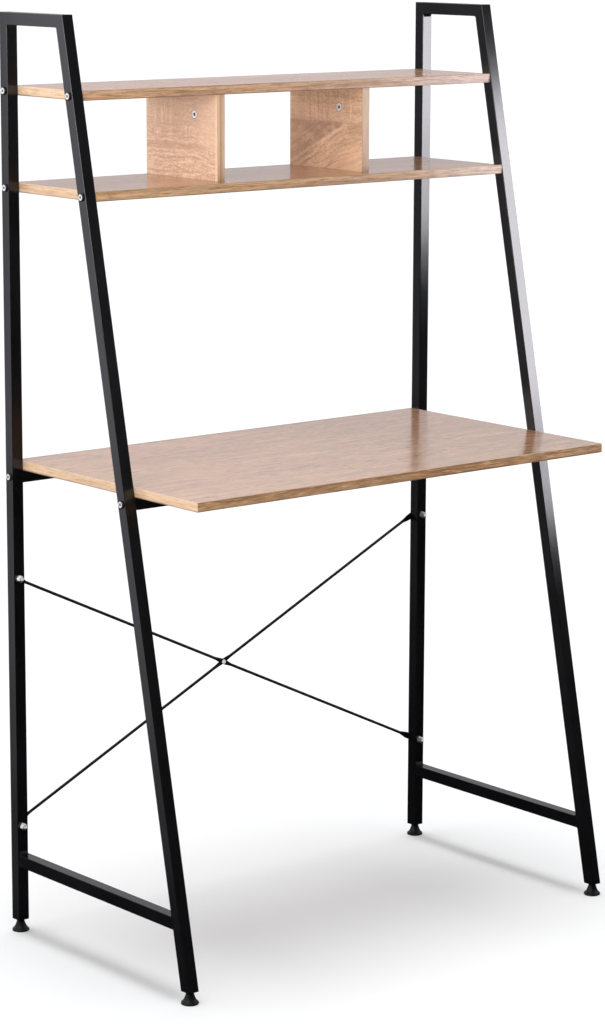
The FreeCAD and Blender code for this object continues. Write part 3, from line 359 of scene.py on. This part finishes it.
def divider(name, seed, tones, left):
    """Divider: grain along Y; faint upright saw marks above, rippled (left) or slanted (right) figure below."""
    g = Graph(name)
    x, y, z = g.xyz
    light, mid, dark = tones
    pale = scaled(light, 1.30)
    if left:
        edge_z = g.add(1.306, g.mul(g.range(y, 0.19, 0.11), 0.006))
        lower = g.range(z, g.add(edge_z, 0.010), g.sub(edge_z, 0.004))
        slope = g.range(y, 0.13, 0.06, 0.03, -0.07)
        m = g.mul(g.range(y, 0.150, 0.185), g.range(z, 1.308, 1.330))
        m2 = g.mul(g.mul(g.range(y, 0.100, 0.086), g.range(y, 0.052, 0.058)), g.mul(g.range(z, 1.334, 1.318), g.range(z, 1.262, 1.280)))
        m3 = g.mul(g.range(y, 0.150, 0.130), g.mul(g.range(z, 1.318, 1.314), g.range(z, 1.300, 1.305)))
        m = g.math("MAXIMUM", g.math("MAXIMUM", m, g.mul(m2, 0.8)), g.mul(m3, 0.8))
    else:
        lower = g.range(z, 1.3125, 1.3095)
        slope = g.range(y, 0.19, 0.07, 0.52, 0.34)
        m = g.mul(g.mul(g.range(y, 0.215, 0.190), g.range(z, 1.309, 1.320)), g.range(y, 0.060, 0.082))
    wave = g.noise(g.vec(g.mul(y, 22.0), g.mul(z, 16.0), seed + 7.0), 1.0, 2.0, 0.5)
    shift = g.add(g.mul(g.sub(y, 0.14), slope), g.mul(g.sub(wave, 0.5), 0.006 if left else 0.010))
    v = g.add(z, g.mul(lower, shift))
    c, h, fine = oak(g, y, v, x, tones, seed=seed, warp=0.0015, bands=30.0, streaks=130.0, contrast=1.05)
    # ripple figure: uneven pale and dark threads of two widths
    r1 = g.noise(g.vec(g.mul(y, 42.0 if left else 26.0), g.mul(v, 250.0), seed + 2.0), 1.0, 3.0, 0.6)
    r2 = g.noise(g.vec(g.mul(y, 80.0), g.mul(v, 430.0), seed + 5.0), 1.0, 2.0, 0.6)
    beside = g.mul(g.range(y, 0.150, 0.125), 0.65) if left else g.mul(g.range(y, 0.180, 0.200), 0.60)
    rippled = g.math("MAXIMUM", lower, beside)
    c = g.mix(g.mul(g.mul(g.range(r1, 0.51, 0.64), rippled), 0.75), c, pale)
    c = g.mix(g.mul(g.mul(g.range(r1, 0.47, 0.34), rippled), 0.60 if left else 0.64), c, dark)
    c = g.mix(g.mul(g.mul(g.range(r2, 0.54, 0.66), rippled), 0.48), c, pale)
    # saw marks: narrow upright threads, uneven in strength and length
    t1 = g.noise(g.vec(g.mul(y, 190.0), g.mul(z, 11.0), seed + 1.0), 1.0, 1.0, 0.5)
    cut = g.noise(g.vec(g.mul(y, 60.0), g.mul(z, 30.0), seed), 1.0, 2.0, 0.6)
    m = g.mul(m, g.range(cut, 0.38, 0.56, 0.25, 1.0))
    c = g.mix(g.mul(g.mul(g.range(t1, 0.50, 0.66), m), 0.80 if left else 0.42), c, pale)
    c = g.mix(g.mul(g.mul(g.range(t1, 0.46, 0.34), m), 0.36), c, dark)
    grit = g.noise(g.vec(g.mul(y, 230.0), g.mul(z, 360.0), seed), 1.0, 3.0, 0.65)
    c = g.mix(g.mul(g.range(grit, 0.52, 0.64), 0.40), c, dark)
    c = g.mix(g.mul(g.range(grit, 0.48, 0.36), 0.36), c, pale)
    if left:
        # smoky band across the middle, painted shade above at the back under the upper shelf, painted light toward the
        # front in the upper part, pale arris at the front
        band = g.mul(g.mul(g.range(z, 1.292, 1.300), g.range(z, 1.314, 1.306)), g.range(cut, 0.42, 0.60, 0.05, 0.42))
        c = g.mix(band, c, dark)
        rust = g.mul(g.mul(g.range(z, 1.2755, 1.2795), g.range(z, 1.2915, 1.2870)), g.range(y, 0.070, 0.100, 0.15, 0.50))
        c = g.mix(rust, c, (0.480, 0.255, 0.165))
        # painted shade under the upper shelf, at the back
        shelf_shade = g.mul(g.range(z, 1.322, 1.345), g.range(y, 0.120, 0.165))
        c = g.mix(g.mul(shelf_shade, 0.14), c, scaled(dark, 1.15))
        # painted light: paler toward the front, in the upper part
        c = g.mix(g.mul(g.mul(g.range(y, 0.125, 0.075), g.range(z, 1.275, 1.290)), 0.45), c, scaled(light, 1.22))
        rim = g.mul(g.range(y, 0.0560, 0.0540), g.range(y, 0.0490, 0.0500))
        c = g.mix(g.mul(rim, 0.65), c, scaled(light, 1.30))
    else:
        # dark wedge below the joint line, cut off by a pale slanting streak
        line = g.add(1.276, g.mul(g.sub(0.160, y), 0.48))
        soft = g.noise(g.vec(g.mul(y, 55.0), g.mul(z, 75.0), seed + 9.0), 1.0, 3.0, 0.6)
        off = g.add(g.sub(z, line), g.mul(g.sub(soft, 0.5), 0.004))
        blot = g.mul(g.mul(g.range(off, -0.001, 0.006), lower), g.range(soft, 0.36, 0.58, 0.38, 0.72))
        blot = g.mul(blot, g.range(y, 0.050, 0.085, 0.75, 1.0))
        c = g.mix(blot, c, scaled(dark, 0.92))
        streak = g.mul(g.mul(g.range(off, -0.0065, -0.0030), g.range(off, 0.0010, -0.0020)), g.mul(g.range(y, 0.172, 0.160), g.range(y, 0.092, 0.104)))
        c = g.mix(g.mul(streak, 0.65), c, pale)
        # painted light: paler low at the front
        c = g.mix(g.mul(g.mul(g.range(y, 0.170, 0.070), g.range(z, 1.300, 1.250)), 0.55), c, scaled(light, 1.22))
        # painted shade: darker toward the back
        c = g.mix(g.mul(g.range(y, 0.165, 0.215), 0.42), c, dark)
        spot = g.mul(g.mul(g.range(y, 0.098, 0.076), g.range(z, 1.282, 1.298)), lower)
        c = g.mix(g.mul(spot, 0.45), c, dark)
    return g.set(color=c, rough=g.range(fine, 0.4, 0.7, 0.30, 0.40), ior=1.5, normal=g.bump(h, 0.00012, 0.4))


DIV_L = ((0.700, 0.485, 0.335), (0.640, 0.425, 0.285), (0.475, 0.270, 0.175))
DIV_R = ((0.780, 0.515, 0.325), (0.690, 0.440, 0.268), (0.410, 0.220, 0.125))


def beech(name):
    g = Graph(name)
    x, y, z = g.xyz
    c, h, fine = oak(g, z, x, y, ((0.55, 0.38, 0.22), (0.48, 0.32, 0.18), (0.36, 0.22, 0.11)), seed=5.0)
    return g.set(color=c, rough=0.6, normal=g.bump(h, 0.0002, 0.5))


M = {
    "frame": coat_black("frame_black"),
    "brace": coat_black("brace_black", rough=0.46, base=(0.0030, 0.0030, 0.0034), dust_amount=0.04, ior=1.36),
    "frame_left": coat_black("left_frame_black", rough=0.180),
    "rung_left": coat_black("powder_coat_rung_left", rough=0.180, ior=1.13),
    "rung_right": coat_black("powder_coat_rung_right", rough=0.145, ior=1.13),
    "weld": coat_black("weld_black", rough=0.58, base=(0.0030, 0.0030, 0.0034), dust_amount=0.03, ior=1.32),
    # board tops: the pair of tints is painted light and grazing reflection from front to back
    "desk": board_top("desktop_oak", 0.0, 0.2368, -0.2412, ((0.94, 0.94, 0.95), (1.06, 1.03, 1.02)), (0.82, 0.79, 0.68)),
    "upper": board_top("upper_shelf_oak", 11.3, 0.2368, 0.0448, ((1.40, 1.20, 1.04), (1.36, 1.52, 2.12)), (0.98, 1.0, 1.0), dashes=0.6),
    "lower": board_top("lower_shelf_oak", 23.7, 0.2368, 0.0118, ((0.77, 0.70, 0.54), (0.97, 1.00, 1.04)), (1.0, 0.98, 0.96), dashes=0.6),
    # edge strips: the colour before the lip tone is the painted reflection of the right soft box at the right end
    "band_desk": edge_band("desktop_band", 3.1, 0.772, 0.787, (0.79, 0.79, 0.79), (1.02, 1.03, 1.02), (0.05, 0.045, 0.04), scaled(LIT_END[0], 1.12)),
    "band_upper": edge_band("upper_shelf_band", 8.4, 1.370, 1.385, (0.96, 0.98, 1.07), (0.87, 0.85, 0.78), (0.05, 0.06, 0.10), (0.200, 0.110, 0.060), 0.75),
    "band_lower": edge_band("lower_shelf_band", 15.2, 1.218, 1.233, (0.96, 1.01, 1.05), (0.94, 0.94, 0.98), (0.09, 0.10, 0.12), (0.420, 0.250, 0.140), 0.75),
    "band_div": divider_band("divider_band", 19.9),
    "div_l": divider("left_divider_oak", 2.0, DIV_L, True),
    "div_r": divider("right_divider_oak", 6.5, DIV_R, False),
    "zinc": zinc("zinc_plate"),
    "nut": nut("nut_plate"),
    "centre": zinc("centre_bolt_plate", (0.97, 0.97, 0.97), 0.30, 0.12),
    # the cam's last colour is the painted shade round its rim
    "cam": ringed("cam_nickel", from_axes([(0.1088, 1.336)]), 0.0027, 0.0066, (0.95, 0.92, 0.88), 0.12, (0.080, 0.062, 0.052)),
    "bolt": ringed("bolt_zinc", from_axes(HEADS), 0.0022, 0.0047, (0.66, 0.66, 0.66), 0.30),
    "beech": beech("beech_dowel"),
    "stud": threaded("stud_thread"),
    "foot": plastic("foot_black"),
}

BY_NODE = {
    "desktop": "desk", "upper_shelf": "upper", "lower_shelf": "lower",
    "desktop_edge_bands": "band_desk", "upper_shelf_edge_bands": "band_upper",
    "lower_shelf_edge_bands": "band_lower", "divider_edge_bands": "band_div",
    "left_divider": "div_l", "right_divider": "div_r",
    "divider_cams": "cam", "divider_dowels": "beech", "frame_bolts": "bolt",
    "falling_brace_rod": "brace", "rising_brace_rod": "brace",
    "left_frame_welds": "weld", "right_frame_welds": "weld",
    "left_back_post": "frame_left", "left_front_leg": "frame_left",
    "left_top_rung": "frame_left", "left_lower_rung": "rung_left", "right_lower_rung": "rung_right",
    "brace_nuts": "nut", "brace_end_bolts": "nut", "brace_centre_bolt": "centre",
}
BY_SLOT = {"powder_coat": "frame", "brace_paint": "brace", "zinc": "zinc", "stud_steel": "stud", "foot_plastic": "foot"}
for name, obj in nodes.items():
    key = BY_NODE.get(name) or BY_SLOT[obj.material_slots[0].material.name]
    for s in obj.material_slots:
        s.material = M[key]


# ---------------------------------------------------------------- floor
def floor():
    ring = [(60.0 * math.cos(a), 60.0 * math.sin(a), 0.0) for a in (2 * math.pi * i / 96 for i in range(96))]
    mesh = bpy.data.meshes.new("floor")
    mesh.from_pydata(ring, [], [list(range(96))])
    ob = bpy.data.objects.new("floor", mesh)
    scene.collection.objects.link(ob)
    g = Graph("floor_white")
    at = g.coord.outputs["Object"]
    tone = g.mix(g.noise(at, 3.0, 2.0), (0.738, 0.752, 0.755), (0.748, 0.762, 0.765))
    mesh.materials.append(g.set(color=tone, rough=0.9, spec=0.0))
    ob.visible_glossy = False
    return ob


ground_plane = floor()

# ---------------------------------------------------------------- lights
def group(name, objects):
    c = bpy.data.collections.new(name)
    scene.collection.children.link(c)
    for o in objects:
        c.objects.link(o)
    return c


desk_only = group("desk_only", nodes.values())
floor_only = group("floor_only", [ground_plane])
rungs_only = group("rungs_only", [nodes["left_lower_rung"], nodes["right_lower_rung"]])
TOPS = ("desktop", "upper_shelf", "lower_shelf")
tops_only = group("tops_only", [nodes[n] for n in TOPS])
not_tops = group("not_tops", [o for n, o in nodes.items() if n not in TOPS])


def box(name, place, aim, width, height, radiance, tint=(1.0, 1.0, 1.0), receivers=desk_only, mirrored=True):
    """A soft box of the given radiance that lights the desk and not the floor."""
    data = bpy.data.lights.new(name, "AREA")
    data.shape = "RECTANGLE"
    data.size, data.size_y = width, height
    data.energy = radiance * math.pi * width * height
    data.color = tint
    ob = bpy.data.objects.new(name, data)
    scene.collection.objects.link(ob)
    ob.location = place
    ob.rotation_euler = (Vector(aim) - Vector(place)).to_track_quat("-Z", "Y").to_euler()
    ob.visible_camera = False
    ob.visible_glossy = mirrored
    ob.light_linking.receiver_collection = receivers
    ob.light_linking.blocker_collection = desk_only
    return ob


def pair(name, *args):
    """The same soft box twice: once for everything but the tops, once for the tops, where it has no mirror image."""
    box(name, *args, receivers=not_tops)
    box(name + "_tops", *args, receivers=tops_only, mirrored=False)


def overhead(name, energy, angle, receivers, blockers=None, lean=0.0):
    data = bpy.data.lights.new(name, "SUN")
    data.energy = energy
    data.angle = math.radians(angle)
    ob = bpy.data.objects.new(name, data)
    scene.collection.objects.link(ob)
    ob.rotation_euler = (0.0, lean, 0.0)
    ob.light_linking.receiver_collection = receivers
    if blockers is not None:
        ob.light_linking.blocker_collection = blockers
    return ob


COOL = (0.965, 0.945, 1.0)
# tall box at the right front: its mirror image is the bright length of the right frame's front faces
pair("right_box_main", (1.9337, -1.5190, 1.505), (0.1837, -0.0190, 1.505), 0.56, 0.77, 12.7, COOL)
pair("right_box_low", (1.9630, -1.4850, 0.985), (0.2130, 0.0150, 0.985), 0.46, 0.27, 9.5, COOL)
# keys from the left for the end edges and the dividers
pair("left_key", (-1.85, -0.95, 1.75), (0.0, 0.1, 1.15), 1.0, 1.0, 6.6)
pair("left_side", (-2.30, 0.10, 1.70), (0.0, 0.1, 1.15), 1.0, 1.0, 6.6)
pair("top_front", (-0.60, -0.60, 3.20), (0.0, 0.0, 1.0), 1.6, 1.6, 0.8)
# cards behind, seen in the frames' left faces: brighter for the left frame, dimmer for the right one
CARDS = ((-0.62, -0.40, 0.03, 0.0), (-0.40, -0.12, 0.28, 0.0), (-0.12, 0.10, 0.62, 0.04), (0.10, 0.55, 0.82, 0.12),
         (0.55, 1.30, 1.10, 0.26), (1.30, 1.68, 1.25, 0.14))
for k, (z0, z1, near, far) in enumerate(CARDS):
    zc, h = (z0 + z1) / 2, z1 - z0
    box("left_card_%d" % k, (-1.5425, 1.35, zc), (-1.5425, 0.0, zc), 0.715, h, near, (0.93, 0.91, 1.0))
    if far:
        box("right_card_%d" % k, (-0.7675, 1.35, zc), (-0.7675, 0.0, zc), 0.835, h, far, (0.93, 0.91, 1.0))
overhead("overhead_desk", 0.25, 32.0, desk_only)
overhead("overhead_floor", 1.68, 33.0, floor_only, lean=-0.035)
overhead("overhead_rungs", 1.20, 18.0, floor_only, rungs_only)

world = bpy.data.worlds.new("studio")
scene.world = world
world.use_nodes = True
t = world.node_tree
t.nodes.clear()
out = t.nodes.new("ShaderNodeOutputWorld")
tc = t.nodes.new("ShaderNodeTexCoord")
sep = t.nodes.new("ShaderNodeSeparateXYZ")
t.links.new(tc.outputs["Generated"], sep.inputs[0])


def wmath(op, a, b=None, clamp=False):
    n = t.nodes.new("ShaderNodeMath")
    n.operation, n.use_clamp = op, clamp
    for s, v in zip(n.inputs, (a, b)):
        if isinstance(v, bpy.types.NodeSocket):
            t.links.new(v, s)
        elif v is not None:
            s.default_value = v
    return n.outputs[0]


def wrange(v, a, b, lo, hi):
    n = t.nodes.new("ShaderNodeMapRange")
    n.interpolation_type = "SMOOTHSTEP"
    t.links.new(v, n.inputs["Value"])
    for k, x in (("From Min", a), ("From Max", b), ("To Min", lo), ("To Max", hi)):
        n.inputs[k].default_value = x
    return n.outputs[0]


# sky by height (the direction's z) at the back, nearly dark at the front, even overhead
SKY = ((-0.03, 0.0), (0.02, 0.55), (0.14, 0.72), (0.24, 1.15), (0.40, 2.30), (0.62, 0.44))
FRONT_SKY = 0.03
zc = sep.outputs[2]
back = SKY[0][1]
for (z0, l0), (z1, l1) in zip(SKY, SKY[1:]):
    back = wmath("ADD", back, wrange(zc, z0, z1, 0.0, l1 - l0))
behind = wrange(sep.outputs[1], -0.05, 0.25, 0.0, 1.0)
up = wrange(zc, 0.40, 0.66, 0.0, 1.0)
front = wmath("ADD", wmath("MULTIPLY", wrange(zc, -0.03, 0.02, 0.0, 1.0), FRONT_SKY), wmath("MULTIPLY", up, SKY[-1][1] - FRONT_SKY))
level = wmath("ADD", wmath("MULTIPLY", behind, back), wmath("MULTIPLY", wmath("SUBTRACT", 1.0, behind), front))
bg = t.nodes.new("ShaderNodeBackground")
bg.inputs["Color"].default_value = (0.985, 0.970, 1.0, 1.0)
t.links.new(level, bg.inputs["Strength"])
white = t.nodes.new("ShaderNodeBackground")
white.inputs["Color"].default_value = (1.0, 1.0, 1.0, 1.0)
white.inputs["Strength"].default_value = 1.05
lp = t.nodes.new("ShaderNodeLightPath")
pick = t.nodes.new("ShaderNodeMixShader")
t.links.new(lp.outputs["Is Camera Ray"], pick.inputs[0])
t.links.new(bg.outputs[0], pick.inputs[1])
t.links.new(white.outputs[0], pick.inputs[2])
t.links.new(pick.outputs[0], out.inputs["Surface"])

scene.view_settings.view_transform = "Standard"
scene.view_settings.look = "None"
scene.view_settings.exposure = 0.0
scene.view_settings.gamma = 1.0


# ---------------------------------------------------------------- camera
def camera():
    yaw, pitch, roll = math.radians(39.63241), math.radians(10.96609), math.radians(0.20495)
    ahead = Vector((math.sin(yaw) * math.cos(pitch), math.cos(yaw) * math.cos(pitch), -math.sin(pitch)))
    right = Vector((math.cos(yaw), -math.sin(yaw), 0.0))
    down = -right.cross(ahead)
    c, s = math.cos(roll), math.sin(roll)
    r0 = right * c - down * s
    r1 = right * s + down * c
    data = bpy.data.cameras.new("camera")
    data.sensor_width = 36.0
    data.sensor_fit = "AUTO"
    data.lens = 3155.385 * 36.0 / 1024.0
    data.clip_start, data.clip_end = 0.1, 300.0
    ob = bpy.data.objects.new("camera", data)
    scene.collection.objects.link(ob)
    m = Matrix((r0, -r1, -ahead)).transposed().to_4x4()
    m.translation = Vector((-3.26109, -3.91134, 1.67198))
    ob.matrix_world = m
    scene.camera = ob


camera()
